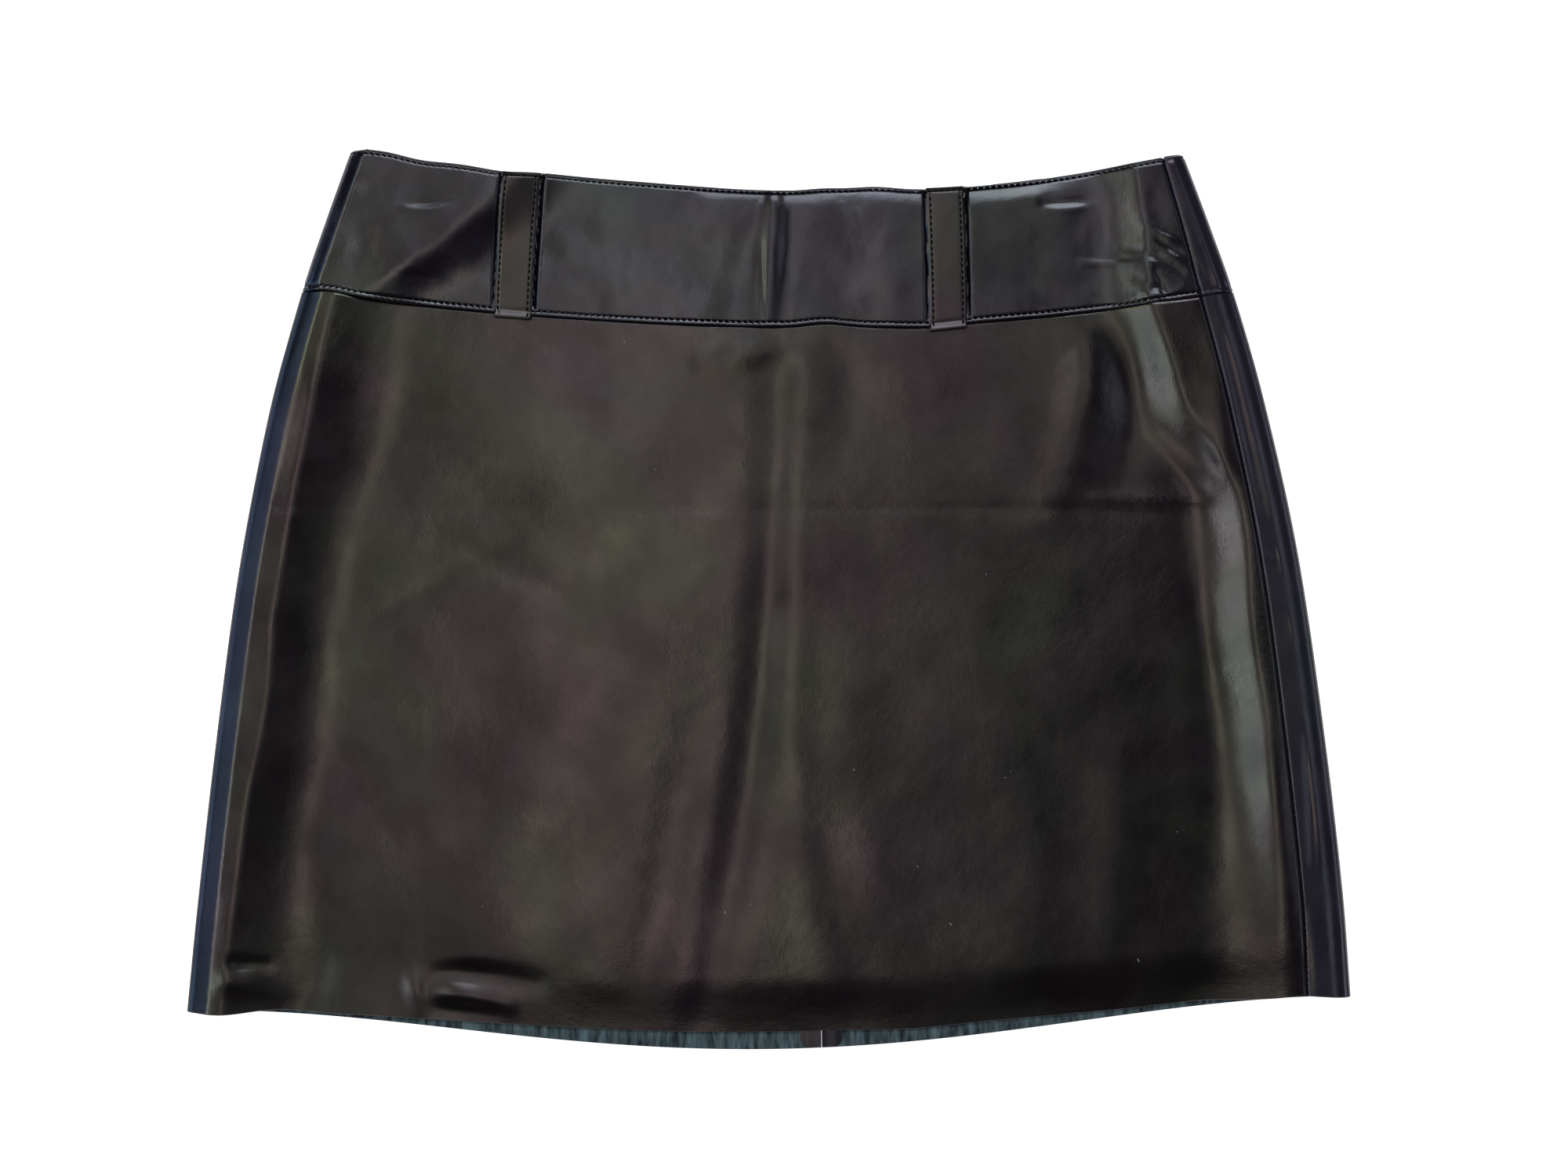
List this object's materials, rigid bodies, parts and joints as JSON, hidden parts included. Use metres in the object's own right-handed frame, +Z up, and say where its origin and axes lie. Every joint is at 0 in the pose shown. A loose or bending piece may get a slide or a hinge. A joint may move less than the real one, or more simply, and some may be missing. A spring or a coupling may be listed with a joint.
{
  "type": "leather mini skirt",
  "caption": "Short high-waisted leather skirt laid flat on its back, with a deep shaped waistband, belt loops, side seams and a concealed zip in the centre back seam.",
  "frame": {"origin": "on the surface that the skirt lies on, in the middle of its laid outline", "axes": "+X to the right of the laid skirt seen from above, +Y towards its waist, +Z up off the surface"},
  "size_m": [0.5322, 0.411, 0.0077],
  "materials": {
    "leather": "semi-gloss, fine grain",
    "zip_tape": "matt woven tape",
    "zip_metal": "dark enamel"
  },
  "bodies": {
    "skirt": {"front_panel": "leather", "front_waistband": "leather", "back_right_panel": "leather", "back_left_panel": "leather", "back_right_waistband": "leather", "back_left_waistband": "leather", "belt_loop_front_left": "leather", "belt_loop_front_right": "leather", "belt_loop_back_left": "leather", "belt_loop_back_right": "leather", "zip_tape": "zip_tape", "zip_slider": "zip_metal"},
    "zip_pull": {"zip_pull": "zip_metal"}
  },
  "joints": [
    {"name": "zip_pull_hinge", "type": "hinge", "parent": "skirt", "child": "zip_pull", "pos_m": [0.016, 0.18076, 0.001], "axis": [1, 0, 0], "range_deg": [0, 150]}
  ]
}
